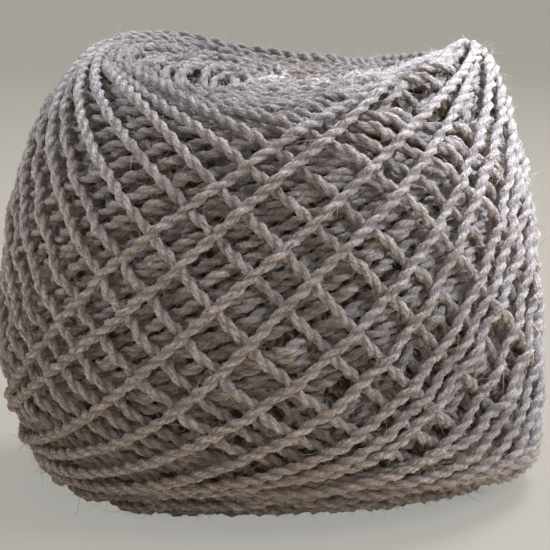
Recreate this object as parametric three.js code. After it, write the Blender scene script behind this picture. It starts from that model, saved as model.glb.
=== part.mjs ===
// A wound ball of two-ply alpaca yarn, standing on its flattened end.
// Millimetres, +Z up, the winding axis upright, the origin at the centre of the foot.

import * as THREE from 'three';
import { ParametricGeometry } from 'three/addons/geometries/ParametricGeometry.js';
import { mergeVertices } from 'three/addons/utils/BufferGeometryUtils.js';

// ---- driving sizes ------------------------------------------------------------------------

// The wound form, a row for each eighth of the way round, from +X through +Y:
// belly and bellyHeight say where the side is widest, rim and rimHeight where the shoulder
// turns over into the hollow of the top, and foot where the side meets the flat foot.
const FORM = [
  { belly: 45.5, bellyHeight: 8, rim: 31.5, rimHeight: 76.5, foot: 32 },
  { belly: 46.0, bellyHeight: 17, rim: 28.5, rimHeight: 72.5, foot: 26 },
  { belly: 46.0, bellyHeight: 23, rim: 28.5, rimHeight: 73.0, foot: 26 },
  { belly: 46.5, bellyHeight: 27, rim: 29.5, rimHeight: 77.5, foot: 26 },
  { belly: 47.0, bellyHeight: 27, rim: 27.0, rimHeight: 75.0, foot: 32 },
  { belly: 47.0, bellyHeight: 28, rim: 28.0, rimHeight: 71.0, foot: 28 },
  { belly: 45.5, bellyHeight: 25, rim: 29.5, rimHeight: 66.0, foot: 14 },
  { belly: 45.5, bellyHeight: 17, rim: 27.5, rimHeight: 73.0, foot: 18 },
];
const SHOULDER_FULLNESS = 1.95; // 2 is a quarter of an ellipse, more is squarer
const HAUNCH_FULLNESS = 2.3; // the same, between the belly and the foot

// The hollow of the top, and the eye in it, where the first turns were wound.
const HOLLOW_HEIGHT = 69;
const EYE = { x: -12, y: -3, radius: 5, depth: 4.5 };

// The main turns: each is a plane loop that crosses the axis at LOOP_HEIGHT and rises by
// LOOP_STEEPNESS for each millimetre from it. They stand up as rounded ridges.
const MAIN_TURNS = 18;
const LOOP_HEIGHT = 47;
const LOOP_STEEPNESS = 0.9;
const RIDGE_HEIGHT = 2; // from the bottom of a gap between turns to a crest
const RIDGE_LEVEL = 0.6; // the fraction of that height which lies inside the plain form
const RIDGE_FADE = 1.4; // more keeps the ridges up closer to the rim
const NEWEST_NODE = THREE.MathUtils.degToRad(-112); // where the newest turn climbs past LOOP_HEIGHT
const HEART = new THREE.Vector3(0, 0, 36); // ridges stand out from here

// Facets: around the axis, and along the profile from the foot's centre to the hollow's.
const AROUND = 96;
const FOOT_STEPS = 6;
const HAUNCH_STEPS = 10;
const SHOULDER_STEPS = 22;
const HOLLOW_STEPS = 12;

// ---- the wound form -----------------------------------------------------------------------

// A size of the form at an azimuth, on a smooth closed curve through its eight rows.
function formSize(name, azimuth) {
  const rows = FORM.length;
  const place = (((azimuth / (2 * Math.PI)) * rows) % rows + rows) % rows;
  const row = Math.floor(place);
  const t = place - row;
  const [a, b, c, d] = [-1, 0, 1, 2].map((k) => FORM[(row + k + rows) % rows][name]);
  return (
    b + 0.5 * t * (c - a + t * (2 * a - 5 * b + 4 * c - d + t * (3 * b - a - 3 * c + d)))
  );
}

// Radius and height a fraction t of the way round a corner, from upright at `side` to level at `end`.
function corner(side, end, t, fullness) {
  const angle = (t * Math.PI) / 2;
  const across = Math.cos(angle) ** (2 / fullness);
  const along = Math.sin(angle) ** (2 / fullness);
  return {
    radius: end.radius + (side.radius - end.radius) * across,
    height: side.height + (end.height - side.height) * along,
  };
}

// The plain form, before its ridges: step counts along the profile, from the foot's centre.
function plainForm(step, azimuth) {
  const size = (name) => formSize(name, azimuth);
  const belly = { radius: size('belly'), height: size('bellyHeight') };
  const rim = { radius: size('rim'), height: size('rimHeight') };
  const foot = { radius: size('foot'), height: 0 };
  if (step <= FOOT_STEPS) {
    return { radius: (foot.radius * step) / FOOT_STEPS, height: 0 };
  }
  if (step <= FOOT_STEPS + HAUNCH_STEPS) {
    return corner(belly, foot, 1 - (step - FOOT_STEPS) / HAUNCH_STEPS, HAUNCH_FULLNESS);
  }
  if (step <= FOOT_STEPS + HAUNCH_STEPS + SHOULDER_STEPS) {
    const t = (step - FOOT_STEPS - HAUNCH_STEPS) / SHOULDER_STEPS;
    return corner(belly, rim, t, SHOULDER_FULLNESS);
  }
  const inward = (step - FOOT_STEPS - HAUNCH_STEPS - SHOULDER_STEPS) / HOLLOW_STEPS;
  const out = 1 - inward;
  return {
    radius: rim.radius * out,
    height: HOLLOW_HEIGHT + (rim.height - HOLLOW_HEIGHT) * out * out,
  };
}

// ---- the main turns -----------------------------------------------------------------------

// 1 on the crest of a main turn and 0 midway between two, given the node of the loop there.
function crest(node) {
  return 0.5 + 0.5 * Math.cos((node - NEWEST_NODE) * MAIN_TURNS);
}

// How far the ridges stand out at a place: one loop climbs through it and one descends.
function ridge(radius, height, azimuth) {
  const climb = (height - LOOP_HEIGHT) / (radius * LOOP_STEEPNESS + 1e-6);
  if (Math.abs(climb) >= 1 || height <= 0) return 0;
  const lead = Math.asin(climb);
  const crossed = Math.max(crest(azimuth - lead), crest(azimuth + Math.PI + lead));
  const fade = Math.min(1, RIDGE_FADE * (1 - climb * climb)); // they run together at the rim
  return RIDGE_HEIGHT * (crossed - RIDGE_LEVEL) * fade;
}

// ---- the solid ----------------------------------------------------------------------------

const STEPS = FOOT_STEPS + HAUNCH_STEPS + SHOULDER_STEPS + HOLLOW_STEPS;

// The surface: u runs around the axis, v runs along the profile from the foot's centre.
function woundSurface(u, v, target) {
  const azimuth = (Math.round(u * AROUND) % AROUND) * ((2 * Math.PI) / AROUND);
  const step = Math.round(v * STEPS);
  const { radius, height } = plainForm(step, azimuth);
  target.set(radius * Math.cos(azimuth), radius * Math.sin(azimuth), height);
  if (step <= FOOT_STEPS) return;
  const outward = target.clone().sub(HEART).normalize();
  target.addScaledVector(outward, ridge(radius, height, azimuth));
  const fromEye = Math.hypot(target.x - EYE.x, target.y - EYE.y) / EYE.radius;
  if (height > LOOP_HEIGHT) target.z -= EYE.depth * Math.exp(-fromEye * fromEye);
  target.z = Math.max(target.z, 0);
}

// One closed skin: seam and poles merged, and the triangles that close up there left out.
function closedSkin(geometry) {
  geometry.deleteAttribute('uv');
  geometry.deleteAttribute('normal');
  const merged = mergeVertices(geometry, 1e-4);
  const corners = merged.index.array;
  const kept = [];
  for (let i = 0; i < corners.length; i += 3) {
    const [a, b, c] = corners.slice(i, i + 3);
    if (a !== b && b !== c && c !== a) kept.push(a, b, c);
  }
  merged.setIndex(kept);
  merged.computeVertexNormals();
  return merged;
}

function woundBall() {
  const skin = closedSkin(new ParametricGeometry(woundSurface, AROUND, STEPS));
  const alpaca = new THREE.MeshStandardMaterial({ color: '#a89d92', roughness: 0.95, metalness: 0 });
  const ball = new THREE.Mesh(skin, alpaca);
  ball.name = 'yarn_ball';
  return ball;
}

const alpacaYarn = new THREE.Group();
alpacaYarn.add(woundBall());

export default alpacaYarn;
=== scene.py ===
"""A wound ball of two-ply alpaca yarn: the strand in its crossing turns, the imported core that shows
between them, its loose fibres, and a plain studio stage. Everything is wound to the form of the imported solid.

The inner working is in millimetres, and a mesh is turned to metres as it is made."""

import math

import bpy
import numpy as np
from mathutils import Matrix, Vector
from mathutils.bvhtree import BVHTree


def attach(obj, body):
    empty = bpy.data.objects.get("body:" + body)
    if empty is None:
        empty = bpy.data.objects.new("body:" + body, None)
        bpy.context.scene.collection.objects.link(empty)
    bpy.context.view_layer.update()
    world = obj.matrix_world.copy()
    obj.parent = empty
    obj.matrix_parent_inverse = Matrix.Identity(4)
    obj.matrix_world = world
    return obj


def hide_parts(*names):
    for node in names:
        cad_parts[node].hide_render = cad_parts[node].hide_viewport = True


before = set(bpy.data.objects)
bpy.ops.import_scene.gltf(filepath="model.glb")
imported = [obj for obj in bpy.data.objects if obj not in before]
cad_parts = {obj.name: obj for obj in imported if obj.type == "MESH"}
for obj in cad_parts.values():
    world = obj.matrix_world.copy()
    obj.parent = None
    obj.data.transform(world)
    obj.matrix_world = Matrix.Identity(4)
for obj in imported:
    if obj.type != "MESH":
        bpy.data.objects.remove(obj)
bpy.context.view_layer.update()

bl_info = {
    "name": "Wound yarn ball",
    "version": (1, 0, 0),
    "blender": (4, 5, 0),
    "location": "3D View > Sidebar > Yarn Ball",
    "description": "Winds a ball of two-ply alpaca yarn to the form of a packed solid",
    "category": "Add Mesh",
}

MM = 0.001
NODE = "yarn_ball"
BODY = "root"

# ---- how the ball is wound -----------------------------------------------------------------

SEEDS = {"turns": 7, "strand": 11, "fibres": 23}
HEART = np.array([0.0, 0.0, 36.0])  # the form is measured outwards from here
BELLY = 45.0  # mm, the ball's radius, by which a width on its skin is turned into an angle
CHART_STEP = math.radians(1.5)  # the chart's cell, 1.2 mm at the belly
FINE_STEP = math.radians(0.5)  # the fine chart's cell, 0.4 mm
STRETCHES = ((0, 1.2), (1.2, 1.6), (1.6, 2.4), (2.4, math.inf))  # groups of cells about as much drawn out
MOST_STRETCH = 4.0
LEAST_SINE = 0.05  # keeps the stretch finite at the foot
RIDGE_RISE = 0.9  # mm, how far the newest turns' outsides stand over the solid's smoothed skin
SWAY = 1.2  # degrees, about how far a turn strays from its plane
SWAY_WAVES = np.arange(2, 8)  # the waves round a turn that its sway is made of
RING_SWAY = 4.0  # how many times as much a ring sways in its own plane
LOOP_POINTS = 720  # round a turn while it is laid
TURN_POINTS = 320  # round it where it lies
SKIN_POINTS = 560  # round it where its outside is read
FURTHEST = 64.0  # mm, from a turn's middle to outside the ball on any side
HALVINGS = 15  # these find the skin to 0.002 mm
NEAR_SQUARE = 0.08  # two directions whose cosine is less than this don't limit each other's reach

# A turn lies in a plane that crosses the axis at `height` mm and rises `slope` mm for each mm from it. Its
# node is the azimuth at which it climbs past that height, and `gap` is how many degrees on the next older
# turn lies.
NEWEST_TURNS = (
    {"gap": 7.0, "height": 51.0, "slope": 0.87},
    {"gap": 20.0, "height": 49.5, "slope": 0.88},
    {"gap": 13.0, "height": 48.5, "slope": 0.86},
    {"gap": 12.0, "height": 48.5, "slope": 0.88},
    {"gap": 10.0, "height": 46.0, "slope": 0.92},
    {"gap": 9.0, "height": 45.0, "slope": 0.96},
)
NEWEST_NODE = -112.0
GAP_STRAY = 0.16  # the shares of themselves by which gaps and slopes stray, where a stage's stray is 1
SLOPE_STRAY = 0.02

# The stages of the winding, newest first, as tables over a stage's age from 0 to 1. `stray` says how unevenly
# its turns lie, and is also how many mm their heights stray. The bed is a run of flatter, closer turns. The
# heart was wound first, about the eye of the hollow, so its axis leans from the upright.
STAGES = (
    {
        "name": "crossing",
        "turns": 25,
        "age": (0, 0.58, 0.66, 1),
        "gap": (9.8, 9.8, 12.6, 12.6),
        "slope": (0.98, 0.98, 0.98, 1.0),
        "height": 44.0,
        "stray": 1.0,
    },
    {
        "name": "bed",
        "turns": 32,
        "age": (0, 0.13, 0.22, 0.28, 1),
        "gap": (8.5, 8.5, 7.6, 4.9, 4.9),
        "slope": (0.90, 0.70, 0.58, 0.54, 0.52),
        "height": 44.0,
        "stray": 0.5,
    },
    {
        "name": "under",
        "turns": 50,
        "age": (0, 1),
        "gap": (23.0, 23.0),
        "slope": (1.0, 1.4),
        "height": 44.0,
        "stray": 1.0,
    },
    {
        "name": "heart",
        "turns": 84,
        "age": (0, 0.3, 0.6, 1),
        "gap": (23, 23, 27, 31),
        "slope": (1.3, 1.8, 3.2, 7.0),
        "height": 42.0,
        "stray": 0.6,
    },
)
HEART_LEAN = (-12.0, 5.0, 36.0)  # the axis of the oldest turns, as a direction

# Rings under the turns that cross the hollow: small ones close round the eye, and the oldest of all near the
# rim. Sizes are in mm, and off_centre is a share of a ring's own radius.
SWIRL = {
    "stage": "swirl",
    "middle": (-12.0, 5.0, 69.0),
    "rings": 12,
    "widest": 11.0,
    "narrowest": 2.3,
    "off_centre": 0.35,
    "dip": 3.0,
    "deepest": 9.0,
}
GIRDLE = {
    "stage": "girdle",
    "middle": (-1.0, 0.0, 70.0),
    "rings": 14,
    "widest": 29.0,
    "narrowest": 12.0,
    "off_centre": 0.04,
    "dip": 0.6,
    "deepest": 3.4,
}

# How turns press on each other and settle.
PACKED = 2.5  # mm, the depth below which older turns are pressed together
PRESSED = 0.4  # how much of its depth a turn keeps below that
TURN_BULK = 7.0  # mm2, the section that one turn takes up in the ball, with the air round it
TURN_SPREAD = 2.0  # mm, how widely a turn spreads its bulk
HUMP_REACH = 2.6  # times that spread, where its hump is taken to end
SETTLING = ((2.4, 12.0), (1.6, 6.0), (1.6, 3.0))  # mm, how widely a pass looks and how far it moves a turn
RESTING = 0.48  # of a strand's thickness, how low over the floor its middle line may lie

# What shows of them. Reaches are in cells of the fine chart, each way from a place.
PINHOLE = 1  # half the width of a gap too narrow to see into
SHELTER_REACH = 2  # where the lowest strand shelters what lies under it
GAP_REACH = 5  # where the highest strand has to be within DEEPEST
CREST_REACH = 8  # where the highest strand sets the painted shade of the place
DEEPEST = 6.0  # mm, how far down into a gap strands are drawn
SHELTER = 0.3  # mm, how far under the lowest strands about it a hidden strand lies
DARKEST_SHADE_DEPTH = 3.0  # mm below the highest strand at which the painted shade on deeper strands is darkest
RUN_OVER = 5  # steps, how far a showing stretch runs on under its neighbours
END_SINKS = 0.9  # mm, how far an end of a stretch dips
END_NARROWS = 0.45  # and the share of its thickness that it keeps

# The strand. Its plies' sizes are shares of its own radius.
PLY_RADIUS = 0.62
PLY_OFFSET = 0.38  # from the strand's middle to a ply's
PLY_ARC = 96.0  # degrees to each side, how far round a ply has points before the one in the groove
SWELLS = ((0.05, 6.1), (0.04, 2.3))  # shares of its thickness, and the mm over which each wave goes a radian
TWIST_WANDER = (0.04, 9.0)  # the same of its twist, as a share of a turn
UNEVEN = 0.06  # how uneven its skin is, as a share of its radius
STRAND_LENGTH = 1000.0  # mm, anywhere in which a turn may begin
UV_LENGTH = 100.0  # mm of strand to one unit of U
FINE = {"sides": 10, "step": 1.0}  # newer turns, and how many of the user's steps a ring of theirs takes
PLAIN = {"sides": 8, "step": 1.5}  # the older ones
FINE_STAGES = ("crossing", "bed", "swirl")
PIECE_TRIANGLES = 195000  # the most that one piece of the turns may have

CORE_DEPTH = 2.0  # mm, from the sheltering skin down to the core
CORE_FLOOR = 0.6  # mm, the least height of the core
CORE_GRID = (100, 180)  # rings from the top to the foot, and facets round each

# The loose fibres, in two lots by their middle lengths in mm, and how they stand. Their lift, veer, bend and
# droop are shares of a fibre's length. A pair is the least and the most.
FUZZ = (
    {"count": 30000, "steps": 1, "length": 0.9},
    {"count": 10000, "steps": 2, "length": 1.9},
)
LOOSE = {
    "radius": 0.035,  # mm
    "narrows": 0.4,  # the share of its thickness left near the tip, which is a point
    "spacing": 1.0,  # mm, between the places where one may grow
    "root": 0.40,  # of the strand's thickness, from its middle
    "round": 0.9,  # radians round the strand, about how far from its outside
    "scatter": 0.45,  # of the lengths, as a logarithm
    "lengths": (0.4, 3.2),  # mm
    "lift": (0.1, 0.7),  # off the strand
    "veer": 0.6,  # sideways, about how far
    "bend": 0.55,  # any way by the tip, about how far
    "droop": (0.0, 0.6),  # back to the strand by the tip
    "floor": 0.05,  # mm, the least height of its line
}


# ---- charts of directions ------------------------------------------------------------------


class Chart:
    """A square map of all directions from the heart: a cell's distance from the middle is its angle from +Z,
    and its bearing is its azimuth. Fields on it hold distances from the heart in millimetres."""

    def __init__(self, step):
        self.step = step
        self.half = math.ceil(math.pi / step) + 1
        self.side = 2 * self.half + 1
        rows, columns = np.mgrid[-self.half : self.half + 1, -self.half : self.half + 1]
        polar = np.minimum(np.hypot(columns, rows) * step, math.pi)
        azimuth = np.arctan2(rows, columns)
        flat = np.sin(polar)
        self.outward = np.stack([flat * np.cos(azimuth), flat * np.sin(azimuth), np.cos(polar)], -1)

    def place(self, points):
        """Column, row and distance from the heart of points given from the heart."""
        distance = np.linalg.norm(points, axis=-1)
        polar = np.arccos(np.clip(points[..., 2] / distance, -1, 1))
        across = np.hypot(points[..., 0], points[..., 1]) + 1e-9
        reach = polar / self.step / across
        return points[..., 0] * reach + self.half, points[..., 1] * reach + self.half, distance

    def read(self, field, column, row):
        """The field between its cells, weighted by nearness on both sides."""
        i = np.clip(np.floor(column).astype(int), 0, self.side - 2)
        j = np.clip(np.floor(row).astype(int), 0, self.side - 2)
        s, t = column - i, row - j
        low = field[j, i] * (1 - s) + field[j, i + 1] * s
        high = field[j + 1, i] * (1 - s) + field[j + 1, i + 1] * s
        return low * (1 - t) + high * t

    def patches(self, points, reach):
        """Cells near each point, their distances from it in mm and its own from the heart, in groups of like
        size. A cell is stretched round the axis by its angle over that angle's sine, so the patches grow
        towards the foot."""
        column, row, distance = self.place(points)
        polar = np.hypot(column - self.half, row - self.half) * self.step
        stretch = polar / np.maximum(np.sin(polar), LEAST_SINE)
        unit = points / distance[:, None]
        cells = self.outward.reshape(-1, 3)
        for low, high in STRETCHES:
            chosen = (stretch >= low) & (stretch < high)
            if not chosen.any():
                continue
            size = math.ceil(reach / (distance[chosen].min() * self.step) * min(high, MOST_STRETCH))
            dj, di = np.mgrid[-size : size + 1, -size : size + 1]
            j = np.clip(np.rint(row[chosen]).astype(int)[:, None] + dj.ravel(), 0, self.side - 1)
            i = np.clip(np.rint(column[chosen]).astype(int)[:, None] + di.ravel(), 0, self.side - 1)
            index = j * self.side + i
            cosine = np.einsum("ijk,ik->ij", cells[index], unit[chosen])
            apart = distance[chosen][:, None] * np.sqrt(np.maximum(2 - 2 * cosine, 0))
            yield index, apart, distance[chosen][:, None]


def blurred(field, width):
    """The field averaged over width cells each way, twice, by running sums."""
    for axis in (0, 1, 0, 1):
        padded = np.pad(field, [(width + 1, width) if a == axis else (0, 0) for a in (0, 1)], mode="edge")
        sums = np.cumsum(padded, axis=axis)
        span = 2 * width + 1
        high = np.take(sums, np.arange(span, sums.shape[axis]), axis=axis)
        low = np.take(sums, np.arange(0, sums.shape[axis] - span), axis=axis)
        field = (high - low) / span
    return field


def lowest_near(field, width):
    """The lowest value within width cells each way."""
    for axis in (0, 1):
        shifted = [np.roll(field, k, axis=axis) for k in range(-width, width + 1)]
        field = np.minimum.reduce(shifted)
    return field


def highest_near(field, width):
    """The highest value within width cells each way."""
    return -lowest_near(-field, width)


def measured_form(chart):
    """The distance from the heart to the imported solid's skin in each direction, with its ridges smoothed."""
    tree = BVHTree.FromObject(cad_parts[NODE], bpy.context.evaluated_depsgraph_get())
    heart = Vector(HEART * MM)
    field = np.empty(chart.side * chart.side)
    for k, direction in enumerate(chart.outward.reshape(-1, 3)):
        hit = tree.ray_cast(heart, Vector(direction))
        field[k] = hit[3] / MM
    field = field.reshape(chart.side, chart.side)
    return blurred(field, 1) + RIDGE_RISE


# ---- turns ---------------------------------------------------------------------------------


def ring_plan(rings, rng):
    """A set of rings, widest first, each highest at a node of its own."""
    radii = np.linspace(rings["widest"], rings["narrowest"], rings["rings"])
    return [{**rings, "radius": radius, "node": rng.uniform(0, 2 * math.pi)} for radius in radii]


def turn_plan(rng):
    """Every turn's stage and sizes, newest first: its node in radians, height, slope and lean, or its radius
    where it is a ring."""
    plan = []
    node = NEWEST_NODE
    for stage in STAGES:
        if stage["name"] == "heart":
            plan += ring_plan(SWIRL, rng)
        for k in range(stage["turns"]):
            age = k / (stage["turns"] - 1)
            gap, slope = (np.interp(age, stage["age"], stage[key]) for key in ("gap", "slope"))
            gap *= 1 + GAP_STRAY * stage["stray"] * rng.normal()
            height = stage["height"] + rng.normal(0, stage["stray"])
            slope *= 1 + rng.normal(0, SLOPE_STRAY * stage["stray"])
            if stage["name"] == "crossing" and k < len(NEWEST_TURNS):
                gap, height, slope = (NEWEST_TURNS[k][key] for key in ("gap", "height", "slope"))
            lean = age if stage["name"] == "heart" else 0.0
            turn = {"stage": stage["name"], "node": math.radians(node), "height": height, "slope": slope}
            plan.append({**turn, "lean": lean, "stray": stage["stray"]})
            node += gap
    return plan + ring_plan(GIRDLE, rng)


ROUND = np.arange(LOOP_POINTS) * 2 * math.pi / LOOP_POINTS
COSINES = np.cos(ROUND[:, None] - ROUND[None, :]).astype(np.float32)
SECANTS = np.where(COSINES > NEAR_SQUARE, 1 / np.maximum(COSINES, 1e-3), np.inf).astype(np.float32)


def turn_plane(node, slope, lean):
    """Three square directions of a turn: level at its node, rising from there, and out of its plane. A lean
    of 1 tips them from the upright axis to HEART_LEAN."""
    level = np.array([math.cos(node), math.sin(node), 0.0])
    rising = np.array([-math.sin(node), math.cos(node), slope]) / math.hypot(1, slope)
    axes = np.stack([level, rising, np.cross(level, rising)])
    towards = Vector((HEART_LEAN[0] * lean, HEART_LEAN[1] * lean, HEART_LEAN[2]))
    return axes @ np.array(Vector((0, 0, 1)).rotation_difference(towards).to_matrix()).T


def laid_ring(chart, skin, form, turn, sway):
    """A ring round the middle of its set, off it towards the ring's node, that dips under the others on the
    far side: the skin's distance from the heart in the ring's directions, less a raised cosine."""
    radius = turn["radius"] * (1 + RING_SWAY * sway)
    shift = turn["off_centre"] * turn["radius"] * np.array([math.cos(turn["node"]), math.sin(turn["node"])])
    spokes = np.stack([np.cos(ROUND), np.sin(ROUND)], -1)
    plan = np.array(turn["middle"][:2]) + shift + radius[:, None] * spokes
    ways = np.column_stack([plan, np.full(LOOP_POINTS, turn["middle"][2])]) - HEART
    column, row, distance = chart.place(ways)
    dip = turn["dip"] * (1 - np.cos(ROUND - turn["node"])) / 2
    reach = np.maximum(chart.read(skin, column, row), chart.read(form, column, row) - turn["deepest"]) - dip
    return HEART + ways * (reach / distance)[:, None]


def taut_turn(chart, skin, turn, sway):
    """One turn pulled taut over the skin: where its plane meets the skin, found by halving, and then the
    smallest round-outwards loop about that, from the furthest reach of the loop each way."""
    level, rising, square = turn_plane(turn["node"], turn["slope"], turn["lean"])
    ways = np.cos(ROUND)[:, None] * level + np.sin(ROUND)[:, None] * rising + sway[:, None] * square
    middle_height = np.array([0.0, 0.0, turn["height"]]) - HEART
    near = np.full(LOOP_POINTS, 1.0)
    far = np.full(LOOP_POINTS, FURTHEST)
    for _ in range(HALVINGS):
        middle = (near + far) / 2
        column, row, distance = chart.place(middle_height + middle[:, None] * ways)
        inside = distance < chart.read(skin, column, row)
        near = np.where(inside, middle, near)
        far = np.where(inside, far, middle)
    radius = (near + far) / 2
    reach = (radius.astype(np.float32)[None, :] * COSINES).max(1)
    radius = np.maximum((reach[:, None] * SECANTS).min(0), radius)
    return HEART + middle_height + radius[:, None] * ways


def evenly(points, count):
    """A closed line through the points, at count even steps, and its length."""
    closed = np.vstack([points, points[:1]])
    along = np.concatenate([[0], np.cumsum(np.linalg.norm(np.diff(closed, axis=0), axis=1))])
    steps = np.linspace(0, along[-1], count, endpoint=False)
    return np.stack([np.interp(steps, along, closed[:, k]) for k in range(3)], -1), along[-1]


def wind(strand):
    """The turns, newest first, each as {stage, points, length}, the chart and the form. A turn lies under the
    bulk of all newer turns: the form, less the thickness that they have laid there. Each lays its own bulk,
    spread as a round hump."""
    rng = np.random.default_rng(SEEDS["turns"])
    chart = Chart(CHART_STEP)
    form = measured_form(chart)
    laid = np.zeros_like(form)
    turns = []
    for turn in turn_plan(rng):
        phases = rng.uniform(0, 2 * math.pi, len(SWAY_WAVES))
        sizes = np.radians(SWAY) * rng.normal(0, 1, len(SWAY_WAVES)) / SWAY_WAVES
        waves = [size * np.sin(wave * ROUND + phase) for wave, size, phase in zip(SWAY_WAVES, sizes, phases)]
        sway = turn.get("stray", 1.0) * sum(waves)
        sunk = np.where(laid < PACKED, laid, PACKED + PRESSED * (laid - PACKED))
        skin = form - sunk - strand / 2
        if "radius" in turn:
            loop = laid_ring(chart, skin, form, turn, sway)
        else:
            loop = taut_turn(chart, skin, turn, sway)
        points, length = evenly(loop, TURN_POINTS)
        turns.append({"stage": turn["stage"], "points": points, "length": length})
        share = TURN_BULK * length / TURN_POINTS / (2 * math.pi * TURN_SPREAD**2)
        for index, apart, _ in chart.patches(points - HEART, HUMP_REACH * TURN_SPREAD):
            hump = share * np.exp(-(apart**2) / (2 * TURN_SPREAD**2))
            laid += np.bincount(index.ravel(), hump.ravel(), laid.size).reshape(laid.shape)
    return turns, chart, form


# ---- what shows ----------------------------------------------------------------------------


def outer_skin(chart, turns, strand):
    """The distance from the heart to the outermost strand in each direction of the fine chart."""
    skin = np.zeros(chart.side * chart.side)
    for turn in turns:
        points, _ = evenly(turn["points"], SKIN_POINTS)
        for index, apart, distance in chart.patches(points - HEART, strand / 2):
            touched = apart < strand / 2
            top = distance + np.sqrt(np.maximum(strand**2 / 4 - apart**2, 0))
            np.maximum.at(skin, index[touched], top[touched])
    return skin.reshape(chart.side, chart.side)


def showing_runs(chart, sheltered, turn, step, strand):
    """The stretches of a turn that show, as lines of points about a step apart, each with whether it is the
    whole turn: all but those that strands shelter on every side. A turn begins and ends where it lies
    deepest, and the ends of a part of one dip towards the heart."""
    count = round(turn["length"] / step)
    points, _ = evenly(turn["points"], count)
    column, row, distance = chart.place(points - HEART)
    bare = distance + strand / 2 - chart.read(sheltered, column, row)
    deepest = int(np.argmin(bare))
    points, bare = np.roll(points, -deepest, axis=0), np.roll(bare, -deepest)
    shows = np.convolve(bare > -SHELTER, np.ones(2 * RUN_OVER + 1), "same") > 0
    edges = np.flatnonzero(np.diff(np.concatenate([[0], shows.astype(int), [0]])))
    closed = np.vstack([points, points[:1]])
    runs = []
    for first, last in edges.reshape(-1, 2):
        if last - first > 2 * RUN_OVER:
            run = closed[first : last + 1].copy()
            whole = len(run) > count
            if not whole:
                inward = HEART - run[[0, -1]]
                run[[0, -1]] += inward * (END_SINKS / np.linalg.norm(inward, axis=1))[:, None]
            runs.append((run, whole))
    return runs


def settle(turns, chart, skin, coarse, form):
    """Moves the turns outwards or inwards together, so that the highest strands about each place just reach
    the form, and gives the skin moved likewise. It looks widely at first and then more closely."""
    out_column, out_row, _ = chart.place(coarse.outward.reshape(-1, 3))
    in_column, in_row, _ = coarse.place(chart.outward.reshape(-1, 3))
    for reach, limit in SETTLING:
        cells = round(reach / (BELLY * chart.step))
        reached = chart.read(blurred(highest_near(skin, cells), cells // 2), out_column, out_row)
        gap = blurred(np.clip(form - reached.reshape(form.shape), -limit, limit), 1)
        for turn in turns:
            out = turn["points"] - HEART
            column, row, distance = coarse.place(out)
            turn["points"] = HEART + out * (1 + coarse.read(gap, column, row) / distance)[:, None]
        skin = skin + coarse.read(gap, in_column, in_row).reshape(skin.shape)
    return skin


WOUND = {}


def wound(sizes):
    """The winding and what of it shows, worked out once for all the operators."""
    if not WOUND:
        strand = sizes.strand / MM
        turns, coarse, form = wind(strand)
        chart = Chart(FINE_STEP)
        skin = settle(turns, chart, outer_skin(chart, turns, strand), coarse, form)
        for turn in turns:
            turn["points"][:, 2] = np.maximum(turn["points"][:, 2], strand * RESTING)
        filled = lowest_near(highest_near(skin, PINHOLE), PINHOLE)
        sheltered = np.maximum(lowest_near(filled, SHELTER_REACH), highest_near(filled, GAP_REACH) - DEEPEST)
        crests = blurred(highest_near(skin, CREST_REACH), CREST_REACH // 2)
        WOUND.update(turns=turns, chart=chart, sheltered=sheltered, crests=crests)
    return WOUND


# ---- meshes --------------------------------------------------------------------------------


def new_piece(name, vertices, corners, starts, material, uv=None, values=None):
    """A mesh object from whole arrays: vertices in millimetres, corner indices, where each face starts in
    them, UVs, and values at each vertex. It rides on the ball's body and takes the material that it is
    given."""
    mesh = bpy.data.meshes.new(name)
    mesh.vertices.add(len(vertices))
    mesh.vertices.foreach_set("co", (vertices * MM).astype(np.float32).ravel())
    mesh.loops.add(len(corners))
    mesh.loops.foreach_set("vertex_index", corners.astype(np.int32))
    mesh.polygons.add(len(starts))
    mesh.polygons.foreach_set("loop_start", starts.astype(np.int32))
    mesh.polygons.foreach_set("use_smooth", np.ones(len(starts), bool))
    if uv is not None:
        mesh.uv_layers.new(name="along_strand").data.foreach_set("uv", uv.astype(np.float32).ravel())
    for key, array in (values or {}).items():
        mesh.attributes.new(key, "FLOAT", "POINT").data.foreach_set("value", array.astype(np.float32))
    mesh.materials.append(material)
    mesh.update(calc_edges=True)
    mesh.validate()
    piece = bpy.data.objects.new(name, mesh)
    bpy.context.scene.collection.objects.link(piece)
    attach(piece, BODY)
    return piece


def ring_quads(rings, sides):
    """The corners of the quads between each ring of vertices and the next: along a side of the one, and back
    along the same side of the other."""
    i, m = np.mgrid[0 : rings - 1, 0:sides]
    near, far = i * sides, (i + 1) * sides
    n = (m + 1) % sides
    return np.stack([near + m, near + n, far + n, far + m], -1).reshape(-1, 4)


def ply_section(sides):
    """Angle and radius, as a share of the strand's, round a two-ply section: two round plies side by side,
    from one groove between them round to the same groove again."""
    groove = math.sqrt(PLY_RADIUS**2 - PLY_OFFSET**2)
    swing = np.linspace(-PLY_ARC, PLY_ARC, sides // 2 - 1) * math.pi / 180
    x = PLY_OFFSET + PLY_RADIUS * np.cos(swing)
    y = PLY_RADIUS * np.sin(swing)
    angle = np.concatenate([[-math.pi / 2], np.arctan2(y, x)])
    radius = np.concatenate([[groove], np.hypot(x, y)])
    return np.concatenate([angle, angle + math.pi]), np.tile(radius, 2)


def frames(points, tangents):
    """Three unit directions of a line at each point: along it, outwards from the heart, and across."""
    tangents = tangents / np.linalg.norm(tangents, axis=1, keepdims=True)
    outward = points - HEART
    outward -= tangents * (outward * tangents).sum(1, keepdims=True)
    outward /= np.linalg.norm(outward, axis=1, keepdims=True)
    return tangents, outward, np.cross(tangents, outward)


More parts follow.
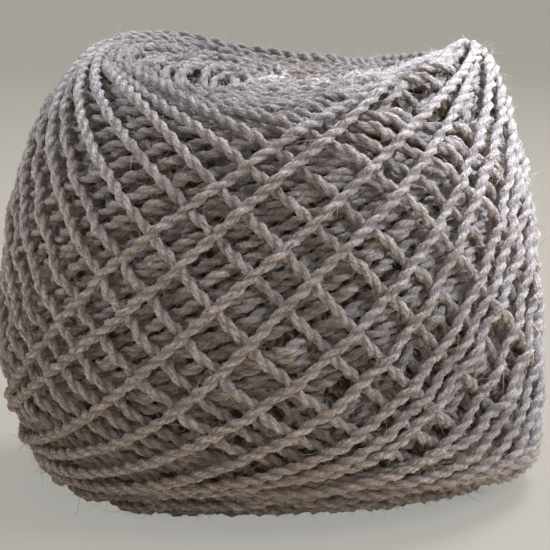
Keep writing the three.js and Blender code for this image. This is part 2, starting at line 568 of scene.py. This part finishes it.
def plied_strand(points, whole, step, start, sides, strand, ply_turn, rng):
    """A closed length of strand: the two-ply section carried along the points and turned once in each
    ply_turn, as a right-handed screw, a little thicker and thinner as it goes, and uneven by a random share
    at each vertex. Unless it is a whole turn, it narrows at its ends."""
    along = start + np.arange(len(points)) * step
    angle, share = ply_section(sides)
    _, outward, across = frames(points, np.gradient(points, axis=0))
    swell = 1 + sum(size * np.sin(along / reach + k * start) for k, (size, reach) in enumerate(SWELLS, 1))
    wander, reach = TWIST_WANDER
    turn = 2 * math.pi * (along / ply_turn + wander * np.sin(along / reach + start))
    bearing = angle[None, :] + turn[:, None]
    if not whole:
        swell[[0, -1]] *= END_NARROWS
    uneven = 1 + UNEVEN * rng.normal(0, 1, (len(points), sides))
    radius = strand / 2 * share[None, :] * swell[:, None] * uneven
    skin = points[:, None, :] + radius[..., None] * (
        np.cos(bearing)[..., None] * outward[:, None, :] + np.sin(bearing)[..., None] * across[:, None, :]
    )
    skin[..., 2] = np.maximum(skin[..., 2], 0)
    count = len(points)
    quads = ring_quads(count, sides)
    closing = np.append(bearing, bearing[:, :1] + 2 * math.pi, axis=1) / (2 * math.pi)
    u = np.broadcast_to(along[:, None], closing.shape) / UV_LENGTH
    flat = np.stack([u, closing], -1)
    uv = np.stack([flat[:-1, :-1], flat[:-1, 1:], flat[1:, 1:], flat[1:, :-1]], 2).reshape(-1, 2)
    corners = np.concatenate([quads.ravel(), np.arange(sides)[::-1], (count - 1) * sides + np.arange(sides)])
    ends = np.concatenate([flat[0, :sides][::-1], flat[-1, :sides]])
    starts = np.concatenate([np.arange(len(quads)) * 4, [len(quads) * 4, len(quads) * 4 + sides]])
    return {
        "vertices": skin.reshape(-1, 3),
        "corners": corners,
        "starts": starts,
        "uv": np.concatenate([uv, ends]),
        # how far in from the strand's round each vertex lies, which sets the painted shade in the groove
        "depth": np.broadcast_to(1 - share, (count, sides)).ravel(),
    }


def fibre_mesh(line, rng):
    """Vertices, corners and face starts of three-sided fibres along lines of points: a triangle carried along
    each line, which narrows to a point at the last."""
    count, rings = line.shape[0], line.shape[1] - 1
    tangent = np.gradient(line, axis=1)
    tangent /= np.linalg.norm(tangent, axis=2, keepdims=True) + 1e-9
    first = np.cross(tangent, rng.normal(0, 1, (count, 1, 3)))
    first /= np.linalg.norm(first, axis=2, keepdims=True) + 1e-9
    second = np.cross(tangent, first)
    thick = LOOSE["radius"] * np.linspace(1, LOOSE["narrows"], rings + 1)[None, :-1, None, None]
    angle = (np.arange(3) * 2 * math.pi / 3)[None, None, :, None]
    sides = np.cos(angle) * first[:, :-1, None, :] + np.sin(angle) * second[:, :-1, None, :]
    skin = (line[:, :-1, None, :] + thick * sides).reshape(count, rings * 3, 3)
    vertices = np.concatenate([skin, line[:, -1:]], axis=1)
    vertices[..., 2] = np.maximum(vertices[..., 2], 0.0)
    base = np.arange(count)[:, None] * (rings * 3 + 1)
    quads = ring_quads(rings, 3).ravel()
    last = 3 * (rings - 1)
    m = np.arange(3)
    tips = np.stack([last + m, last + (m + 1) % 3, np.full(3, last + 3)], -1).ravel()
    corners = np.concatenate([(base + quads).ravel(), (base + tips).ravel(), (base + [2, 1, 0]).ravel()])
    four = np.arange(count * len(quads) // 4) * 4
    three = count * len(quads) + np.arange(count * 4) * 3
    return vertices.reshape(-1, 3), corners, np.concatenate([four, three])


def fibre_lines(points, tangents, strand, fuzz, rng):
    """The line of a loose fibre at each point: out of the strand's skin, along it and a little outwards, and
    bending back as the square of the way along."""
    count = len(points)
    tangents, outward, across = frames(points, tangents)
    swing = rng.normal(0, LOOSE["round"], count)[:, None]
    normal = np.cos(swing) * outward + np.sin(swing) * across
    side = np.cross(tangents, normal)
    root = points + normal * strand * LOOSE["root"]
    length = rng.lognormal(math.log(fuzz["length"]), LOOSE["scatter"], count).clip(*LOOSE["lengths"])[:, None]
    lift = rng.uniform(*LOOSE["lift"], count)[:, None]
    lead = tangents * rng.choice([-1.0, 1.0], count)[:, None]
    veer = rng.normal(0, LOOSE["veer"], count)[:, None]
    bend = rng.normal(0, LOOSE["bend"], (count, 3)) - rng.uniform(*LOOSE["droop"], count)[:, None] * normal
    t = np.linspace(0, 1, fuzz["steps"] + 1)[None, :, None]
    way = (lead + lift * normal + veer * side)[:, None, :]
    line = root[:, None, :] + length[:, None, :] * (way * t + bend[:, None, :] * t**2)
    line[..., 2] = np.maximum(line[..., 2], LOOSE["floor"])
    return line


def core_mesh(chart, sheltered):
    """Vertices, corners and face starts of the core: rings of directions round +Z and one at each pole, each
    as far from the heart as the sheltering skin, less CORE_DEPTH, and nowhere under CORE_FLOOR."""
    rings, around = CORE_GRID
    polar = np.linspace(0, math.pi, rings + 2)[1:-1]
    azimuth = np.arange(around) * 2 * math.pi / around
    polar, azimuth = np.meshgrid(polar, azimuth, indexing="ij")
    ways = np.stack([np.sin(polar) * np.cos(azimuth), np.sin(polar) * np.sin(azimuth), np.cos(polar)], -1)
    ways = np.vstack([ways.reshape(-1, 3), [[0, 0, 1], [0, 0, -1]]])
    column, row, _ = chart.place(ways)
    vertices = HEART + ways * (chart.read(blurred(sheltered, 1), column, row) - CORE_DEPTH)[:, None]
    vertices[:, 2] = np.maximum(vertices[:, 2], CORE_FLOOR)
    quads = ring_quads(rings, around)[:, [0, 3, 2, 1]]
    m = np.arange(around)
    n = (m + 1) % around
    last = (rings - 1) * around
    top = np.stack([np.full(around, rings * around), m, n], -1)
    bottom = np.stack([last + n, last + m, np.full(around, rings * around + 1)], -1)
    corners = np.concatenate([quads.ravel(), top.ravel(), bottom.ravel()])
    starts = np.concatenate([np.arange(len(quads)) * 4, len(quads) * 4 + np.arange(2 * around) * 3])
    return vertices, corners, starts


def joined(parts, key, offsets=None):
    """One array from the parts' arrays, with each part's offset added."""
    if offsets is None:
        return np.concatenate([part[key] for part in parts])
    return np.concatenate([part[key] + offset for part, offset in zip(parts, offsets)])


def joined_piece(name, parts, material):
    """One mesh piece from many lengths of strand."""
    sizes = [len(part["vertices"]) for part in parts]
    corner_counts = [len(part["corners"]) for part in parts]
    vertex_offsets = np.concatenate([[0], np.cumsum(sizes)[:-1]])
    corner_offsets = np.concatenate([[0], np.cumsum(corner_counts)[:-1]])
    return new_piece(
        name,
        joined(parts, "vertices"),
        joined(parts, "corners", vertex_offsets),
        joined(parts, "starts", corner_offsets),
        material,
        uv=joined(parts, "uv"),
        # the masks of the painted shade in the grooves and on the deeper strands
        values={"groove": joined(parts, "depth"), "sunk": joined(parts, "sunk")},
    )


# ---- materials -----------------------------------------------------------------------------


def linear(hex_colour):
    """A linear RGBA colour from an sRGB hex value."""
    parts = [int(hex_colour[k : k + 2], 16) / 255 for k in (1, 3, 5)]
    return tuple(p / 12.92 if p <= 0.04045 else ((p + 0.055) / 1.055) ** 2.4 for p in parts) + (1.0,)


def add_node(tree, kind, settings=None, inputs=None):
    """Adds a node, sets its properties, and sets its inputs: a socket is linked, and all else is a value."""
    node = tree.nodes.new(kind)
    for key, value in (settings or {}).items():
        setattr(node, key, value)
    for key, value in (inputs or {}).items():
        if isinstance(value, bpy.types.NodeSocket):
            tree.links.new(value, node.inputs[key])
        else:
            node.inputs[key].default_value = value
    return node


def new_material(name):
    """A material of that name and its node tree, with nothing in it yet."""
    material = bpy.data.materials.new(name)
    material.use_nodes = True
    tree = material.node_tree
    tree.nodes.clear()
    return material, tree


PAINTED_GLOW = 0.045  # painted light: the strength of a faint glow of the wool in its own colour, for the light that comes through it
CORE_PAINTED_GLOW = 3  # times as strong a painted glow on the core, for the light that seeps to it from all round

# The patterns, each from the size of what it draws, in mm.
STREAKS = (60.0, 15.0)  # in UV_LENGTH of strand and round it: a pale and a dark one are 0.4 mm wide
FLECK = 0.45455  # a pale and a dark fleck in the wool
FLECKED = 0.7  # how strongly flecks show, where streaks are 1
LOT = 14.286  # a lot of one colour and the next
RAISED = 0.5  # the bump's height from dark to pale fibre
BAND = 2.4184  # a strand in the core
CLUMP = 0.76923  # and the wool in it
CORE_RAISED = 1.0  # the bump's height there


def alpaca_material(colours):
    """Undyed two-ply alpaca. The fibres lie nearly along the strand, so they show as pale and dark streaks
    about 0.2 mm wide, drawn eight times as coarse as they are, and they give the strand a soft lustre across
    its length. The groove between the plies and the strands that lie deeper in the ball are darkened with
    painted shade in the gap colour, and the wool glows faintly in its own colour, painted light for the light
    that comes through it."""
    material, tree = new_material("undyed_alpaca_two_ply")
    uv = add_node(tree, "ShaderNodeUVMap", {"uv_map": "along_strand"})
    drawn_out = {"Vector": uv.outputs["UV"], "Scale": (*STREAKS, 1.0)}
    streaks = add_node(tree, "ShaderNodeMapping", None, drawn_out)
    place = add_node(tree, "ShaderNodeTexCoord").outputs["Object"]
    fibre, grain, lots = (
        add_node(
            tree,
            "ShaderNodeTexNoise",
            {"noise_dimensions": dimensions},
            {"Vector": vector, "Scale": scale, "Detail": detail, "Roughness": roughness},
        ).outputs["Fac"]
        for dimensions, vector, scale, detail, roughness in (
            ("2D", streaks.outputs["Vector"], 1.0, 3.0, 0.6),
            ("3D", place, 1 / (FLECK * MM), 2.0, 0.6),
            ("3D", place, 1 / (LOT * MM), 2.0, 0.5),
        )
    )
    worn = add_node(tree, "ShaderNodeMath", {"operation": "MULTIPLY_ADD"}, {0: grain, 1: FLECKED, 2: fibre})
    groove, sunk = (
        add_node(tree, "ShaderNodeAttribute", {"attribute_name": name}).outputs["Fac"]
        for name in ("groove", "sunk")
    )
    colour = tuple(colours.dark_fibre)
    for value, low, high, most, over in (
        (worn.outputs["Value"], 0.66, 1.06, 1.0, colours.pale_fibre),
        (lots, 0.35, 0.65, 0.45, colours.warm_fibre),
        # painted shade: the groove between the plies is darkened towards the gap colour
        (groove, 0.15, 0.45, 0.85, colours.gap),
        # painted shade: strands that lie deeper under the crests are darkened towards the gap colour
        (sunk, 0.2, 0.9, 0.5, colours.gap),
    ):
        limits = {"From Min": low, "From Max": high, "To Min": 0.0, "To Max": most}
        share = add_node(tree, "ShaderNodeMapRange", None, {"Value": value, **limits})
        layers = {"Factor": share.outputs["Result"], "A": colour, "B": tuple(over)}
        colour = add_node(tree, "ShaderNodeMix", {"data_type": "RGBA"}, layers).outputs["Result"]
    raised = {"Height": worn.outputs["Value"], "Strength": 1.0, "Distance": RAISED * MM}
    bump = add_node(tree, "ShaderNodeBump", None, raised)
    along = add_node(tree, "ShaderNodeTangent", {"direction_type": "UV_MAP", "uv_map": "along_strand"})
    shader = add_node(
        tree,
        "ShaderNodeBsdfPrincipled",
        None,
        {
            "Base Color": colour,
            "Roughness": 0.60,
            "IOR": 1.9,
            "Specular IOR Level": 1.0,
            "Anisotropic": 0.8,
            "Anisotropic Rotation": 0.25,
            "Tangent": along.outputs["Tangent"],
            "Subsurface Weight": 0.22,
            "Subsurface Radius": (1.0, 0.8, 0.6),
            "Subsurface Scale": 2.0 * MM,
            "Sheen Weight": 0.4,
            "Sheen Roughness": 0.4,
            # painted light: a faint glow in the wool's own colour for the light that comes through it
            "Emission Color": colour,
            "Emission Strength": PAINTED_GLOW,
            "Normal": bump.outputs["Normal"],
        },
    )
    add_node(tree, "ShaderNodeOutputMaterial", None, {"Surface": shader.outputs["BSDF"]})
    return material


def core_material():
    """Packed strands deep in the ball, seen only as dark, woolly bands in the gaps between the ones on top.
    The bands are the sine of ten times the sum of the three coordinates, and across the bands that sum grows
    by the root of three for each unit. Their colour runs from near black low in the bands to pale on their
    tops, painted shade between the packed strands and deep in the ball, and the core glows faintly, painted
    light for the light that comes through the wool."""
    material, tree = new_material("packed_alpaca_core")
    place = add_node(tree, "ShaderNodeTexCoord").outputs["Object"]
    packed = add_node(
        tree,
        "ShaderNodeTexWave",
        {"wave_type": "BANDS", "bands_direction": "DIAGONAL", "wave_profile": "SIN"},
        {
            "Vector": place,
            "Scale": 2 * math.pi / (10 * math.sqrt(3) * BAND * MM),
            "Distortion": 6.0,
            "Detail": 3.0,
            "Detail Scale": 2.0,
        },
    )
    wool = add_node(
        tree,
        "ShaderNodeTexNoise",
        None,
        {"Vector": place, "Scale": 1 / (CLUMP * MM), "Detail": 3.0, "Roughness": 0.6},
    )
    depth = add_node(
        tree, "ShaderNodeMath", {"operation": "MULTIPLY_ADD"}, {0: wool.outputs["Fac"], 1: 3.2, 2: -1.0}
    )
    height = add_node(
        tree,
        "ShaderNodeMath",
        {"operation": "MULTIPLY"},
        {0: packed.outputs["Fac"], 1: depth.outputs["Value"]},
    ).outputs["Value"]
    # painted shade: near black low in the bands, pale on their tops
    colour = add_node(
        tree,
        "ShaderNodeMix",
        {"data_type": "RGBA"},
        {"Factor": height, "A": linear("#2C251F"), "B": linear("#A39181")},
    ).outputs["Result"]
    raised = {"Height": height, "Strength": 1.0, "Distance": CORE_RAISED * MM}
    bump = add_node(tree, "ShaderNodeBump", None, raised)
    shader = add_node(
        tree,
        "ShaderNodeBsdfPrincipled",
        None,
        {
            "Base Color": colour,
            "Roughness": 0.95,
            "Specular IOR Level": 0.1,
            # painted light: a faint glow in the core's own colour
            "Emission Color": colour,
            "Emission Strength": CORE_PAINTED_GLOW * PAINTED_GLOW,
            "Normal": bump.outputs["Normal"],
        },
    )
    add_node(tree, "ShaderNodeOutputMaterial", None, {"Surface": shader.outputs["BSDF"]})
    return material


def fibre_material():
    """Loose alpaca hairs in twos and threes, 0.07 mm thick together, paler than the strand because light
    passes through them."""
    material, tree = new_material("loose_alpaca_hair")
    shader = add_node(
        tree,
        "ShaderNodeBsdfPrincipled",
        None,
        {"Base Color": linear("#D2C8BF"), "Roughness": 0.6, "Specular IOR Level": 0.3},
    )
    add_node(tree, "ShaderNodeOutputMaterial", None, {"Surface": shader.outputs["BSDF"]})
    return material


# ---- settings ------------------------------------------------------------------------------


def length_property(name, description, length):
    """A length of the panel, given in mm."""
    return bpy.props.FloatProperty(name=name, description=description, default=length * MM, unit="LENGTH")


def colour_property(name, description, hex_colour):
    """A colour of the panel, given as an sRGB hex value."""
    return bpy.props.FloatVectorProperty(
        name=name, description=description, size=4, subtype="COLOR", default=linear(hex_colour)
    )


class YarnBallSizes(bpy.types.PropertyGroup):
    """The sizes that a user would change."""

    strand: length_property("Strand", "Thickness of the two-ply strand", 2.0)
    ply_turn: length_property("Ply turn", "Length of strand in which the plies go once round", 5.8)
    fine_step: length_property("Step", "Length of strand between two rings of its mesh", 0.62)


class YarnBallColours(bpy.types.PropertyGroup):
    """The colours that a user would change."""

    pale_fibre: colour_property("Pale fibre", "Brightest fibres", "#EBDACF")
    dark_fibre: colour_property("Dark fibre", "Darkest fibres", "#40362F")
    warm_fibre: colour_property("Warm fibre", "Browner lots of fibre", "#927C6B")
    # The gap colour is painted shade: it darkens the groove between the plies and the strands that lie deeper
    # in the ball.
    gap: colour_property("Gap", "Fibre in the grooves and gaps", "#5C5048")
    floor: colour_property("Floor", "Floor and backdrop", "#BDBDB8")


# ---- stage ---------------------------------------------------------------------------------

# Lengths are in metres, beams and the elevation in degrees, and the lens and the sensor in millimetres. The
# sweep's floor runs from its front to its back, where it curves up.
SKY = {"colour": "#EBE4DE", "strength": 0.48}
# Each lamp's name, kind, place, what it is aimed at, size, watts, colour and a spot's beam.
LAMPS = (
    ("sky_window", "AREA", (0.30, 0.25, 0.70), (0.0, 0.0, 0.04), 0.30, 6.3, "#E8EEFF", None),
    ("front_window", "AREA", (0.58, -0.28, 0.52), (0.0, 0.0, 0.03), 0.25, 3.0, "#DFE8FF", None),
    ("side_window", "SPOT", (0.34, -0.20, 0.46), (0.037, -0.008, 0.072), 0.02, 27.0, "#EDF2FF", 7.5),
    ("left_window", "SPOT", (-0.42, -0.14, 0.32), (-0.032, -0.02, 0.060), 0.02, 5.0, "#DDE8FF", 9.0),
)
CAMERA = {
    "target": (-0.0006, 0.0, 0.0357),
    "distance": 0.35,
    "elevation": 10.0,
    "lens": 132.9,
    "sensor": 36.0,
}
SWEEP = {"half_width": 4.0, "front": -3.0, "back": 1.0, "curve": 0.6, "height": 3.0, "points": 24}


def paper_material(colours):
    """Matt studio paper. To the camera it is three quarters an even colour of its own, which falls from 0.90
    of itself under the ball to 0.72 at 0.9 m behind it, so that it stays pale. That fall is painted shade,
    darker towards the back."""
    material, tree = new_material("matt_studio_paper")
    shader = add_node(
        tree,
        "ShaderNodeBsdfPrincipled",
        None,
        {"Base Color": linear("#E8D8BE"), "Roughness": 0.9, "Specular IOR Level": 0.1},
    )
    place = add_node(tree, "ShaderNodeTexCoord").outputs["Object"]
    axes = add_node(tree, "ShaderNodeSeparateXYZ", None, {"Vector": place})
    # painted shade: the paper's even colour grows darker towards the back
    painted_falloff = add_node(
        tree,
        "ShaderNodeMapRange",
        None,
        {"Value": axes.outputs["Y"], "From Min": 0.0, "From Max": 0.9, "To Min": 0.90, "To Max": 0.72},
    )
    glow = {"Color": tuple(colours.floor), "Strength": painted_falloff.outputs["Result"]}
    even = add_node(tree, "ShaderNodeEmission", None, glow)
    seen_directly = add_node(tree, "ShaderNodeLightPath").outputs["Is Camera Ray"]
    lift = add_node(tree, "ShaderNodeMath", {"operation": "MULTIPLY"}, {0: seen_directly, 1: 0.75})
    seen = add_node(
        tree,
        "ShaderNodeMixShader",
        None,
        {0: lift.outputs["Value"], 1: shader.outputs["BSDF"], 2: even.outputs["Emission"]},
    )
    add_node(tree, "ShaderNodeOutputMaterial", None, {"Surface": seen.outputs["Shader"]})
    return material


def lay_sweep(material):
    """A floor that curves up into a backdrop: a straight line, a quarter circle and a straight line up, drawn
    across the whole width."""
    turn = np.linspace(0, math.pi / 2, SWEEP["points"])
    wall = SWEEP["back"] + SWEEP["curve"]
    y = np.concatenate([[SWEEP["front"]], SWEEP["back"] + SWEEP["curve"] * np.sin(turn), [wall]])
    z = np.concatenate([[0], SWEEP["curve"] * (1 - np.cos(turn)), [SWEEP["height"]]])
    left = np.stack([np.full(len(y), -SWEEP["half_width"]), y, z], -1)
    right = left * [-1, 1, 1]
    k = np.arange(len(y) - 1)
    faces = np.stack([k, k + len(y), k + len(y) + 1, k + 1], -1)
    mesh = bpy.data.meshes.new("studio_sweep")
    mesh.from_pydata(np.vstack([left, right]).tolist(), [], faces.tolist())
    mesh.polygons.foreach_set("use_smooth", np.ones(len(faces), bool))
    mesh.materials.append(material)
    sweep = bpy.data.objects.new("studio_sweep", mesh)
    bpy.context.scene.collection.objects.link(sweep)


def hang_lamp(name, kind, place, aim, size, watts, colour, beam):
    """A lamp at its place, turned to what it is aimed at: a square window, or a spot with a soft edge."""
    light = bpy.data.lights.new(name, kind)
    light.energy = watts
    light.color = linear(colour)[:3]
    if kind == "AREA":
        light.size = size
    else:
        light.shadow_soft_size = size
        light.spot_size = math.radians(beam)
        light.spot_blend = 1.0
    holder = bpy.data.objects.new(name, light)
    holder.location = place
    holder.rotation_euler = (Vector(aim) - Vector(place)).to_track_quat("-Z", "Y").to_euler()
    bpy.context.scene.collection.objects.link(holder)


def set_camera(scene):
    """The camera at its distance from the target, raised by its elevation and turned to the target."""
    camera = bpy.data.objects.new("camera", bpy.data.cameras.new("camera"))
    camera.data.lens = CAMERA["lens"]
    camera.data.sensor_width = CAMERA["sensor"]
    elevation = math.radians(CAMERA["elevation"])
    target = Vector(CAMERA["target"])
    camera.location = target + CAMERA["distance"] * Vector((0, -math.cos(elevation), math.sin(elevation)))
    camera.rotation_euler = (target - camera.location).to_track_quat("-Z", "Y").to_euler()
    scene.collection.objects.link(camera)
    scene.camera = camera


# ---- operators -----------------------------------------------------------------------------


class YARNBALL_OT_turns(bpy.types.Operator):
    """Winds the strand in its turns, as far as they show, in a few pieces."""

    bl_idname = "yarnball.turns"
    bl_label = "Wind the turns"

    def execute(self, context):
        sizes = context.scene.yarn_ball_sizes
        material = alpaca_material(context.scene.yarn_ball_colours)
        ball = wound(sizes)
        strand, ply_turn, step = sizes.strand / MM, sizes.ply_turn / MM, sizes.fine_step / MM
        rng = np.random.default_rng(SEEDS["strand"])
        batches = [[]]
        used = 0
        for turn in ball["turns"]:
            start = rng.uniform(0, STRAND_LENGTH)
            detail = FINE if turn["stage"] in FINE_STAGES else PLAIN
            sides, ring = detail["sides"], step * detail["step"]
            for stretch, whole in showing_runs(ball["chart"], ball["sheltered"], turn, ring, strand):
                triangles = 2 * sides * len(stretch)
                if used + triangles > PIECE_TRIANGLES:
                    batches.append([])
                    used = 0
                used += triangles
                part = plied_strand(stretch, whole, ring, start, sides, strand, ply_turn, rng)
                # How far the strand lies under the crests about it, which sets the painted shade on deeper
                # strands
                column, row, distance = ball["chart"].place(part["vertices"] - HEART)
                below = ball["chart"].read(ball["crests"], column, row) - distance
                part["sunk"] = np.clip(below / DARKEST_SHADE_DEPTH, 0, 1)
                batches[-1].append(part)
                start += len(stretch) * ring
        for k, batch in enumerate(batches):
            piece = joined_piece(f"turns_{k + 1}", batch, material)
            if k == 0:
                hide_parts(NODE)
        return {"FINISHED"}


class YARNBALL_OT_core(bpy.types.Operator):
    """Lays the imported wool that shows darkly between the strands."""

    bl_idname = "yarnball.core"
    bl_label = "Fill the core"

    def execute(self, context):
        ball = wound(context.scene.yarn_ball_sizes)
        new_piece("core", *core_mesh(ball["chart"], ball["sheltered"]), core_material())
        return {"FINISHED"}


class YARNBALL_OT_fuzz(bpy.types.Operator):
    """Raises the loose fibres that stand out from the strands."""

    bl_idname = "yarnball.fuzz"
    bl_label = "Raise the fuzz"

    def execute(self, context):
        sizes = context.scene.yarn_ball_sizes
        ball = wound(sizes)
        strand = sizes.strand / MM
        rng = np.random.default_rng(SEEDS["fibres"])
        points, tangents = [], []
        for turn in ball["turns"]:
            for stretch, _ in showing_runs(ball["chart"], ball["sheltered"], turn, LOOSE["spacing"], strand):
                points.append(stretch[1:-1])
                tangents.append(stretch[2:] - stretch[:-2])
        points, tangents = np.vstack(points), np.vstack(tangents)
        material = fibre_material()
        for k, fuzz in enumerate(FUZZ):
            chosen = rng.integers(0, len(points), fuzz["count"])
            line = fibre_lines(points[chosen], tangents[chosen], strand, fuzz, rng)
            new_piece(f"loose_fibres_{k + 1}", *fibre_mesh(line, rng), material)
        return {"FINISHED"}


class YARNBALL_OT_stage(bpy.types.Operator):
    """Sets the floor, the backdrop, the lights and the camera."""

    bl_idname = "yarnball.stage"
    bl_label = "Set the stage"

    def execute(self, context):
        scene = context.scene
        lay_sweep(paper_material(scene.yarn_ball_colours))
        world = bpy.data.worlds.new("soft_studio")
        world.use_nodes = True
        sky = world.node_tree.nodes["Background"]
        sky.inputs["Color"].default_value = linear(SKY["colour"])
        sky.inputs["Strength"].default_value = SKY["strength"]
        scene.world = world
        for lamp in LAMPS:
            hang_lamp(*lamp)
        set_camera(scene)
        scene.view_settings.view_transform = "Standard"
        return {"FINISHED"}


class YARNBALL_PT_panel(bpy.types.Panel):
    """Lists the sizes, the colours and the operators."""

    bl_idname = "YARNBALL_PT_panel"
    bl_label = "Yarn Ball"
    bl_space_type = "VIEW_3D"
    bl_region_type = "UI"
    bl_category = "Yarn Ball"

    def draw(self, context):
        for group in (context.scene.yarn_ball_sizes, context.scene.yarn_ball_colours):
            for key in group.__annotations__:
                self.layout.prop(group, key)
        for operator in OPERATORS:
            self.layout.operator(operator.bl_idname)


OPERATORS = (YARNBALL_OT_turns, YARNBALL_OT_core, YARNBALL_OT_fuzz, YARNBALL_OT_stage)
CLASSES = (YarnBallSizes, YarnBallColours, *OPERATORS, YARNBALL_PT_panel)


def register():
    for cls in CLASSES:
        bpy.utils.register_class(cls)
    bpy.types.Scene.yarn_ball_sizes = bpy.props.PointerProperty(type=YarnBallSizes)
    bpy.types.Scene.yarn_ball_colours = bpy.props.PointerProperty(type=YarnBallColours)


def unregister():
    del bpy.types.Scene.yarn_ball_colours
    del bpy.types.Scene.yarn_ball_sizes
    for cls in reversed(CLASSES):
        bpy.utils.unregister_class(cls)


def main():
    register()
    for operator in OPERATORS:
        module, name = operator.bl_idname.split(".")
        getattr(getattr(bpy.ops, module), name)()


if __name__ == "__main__":
    main()
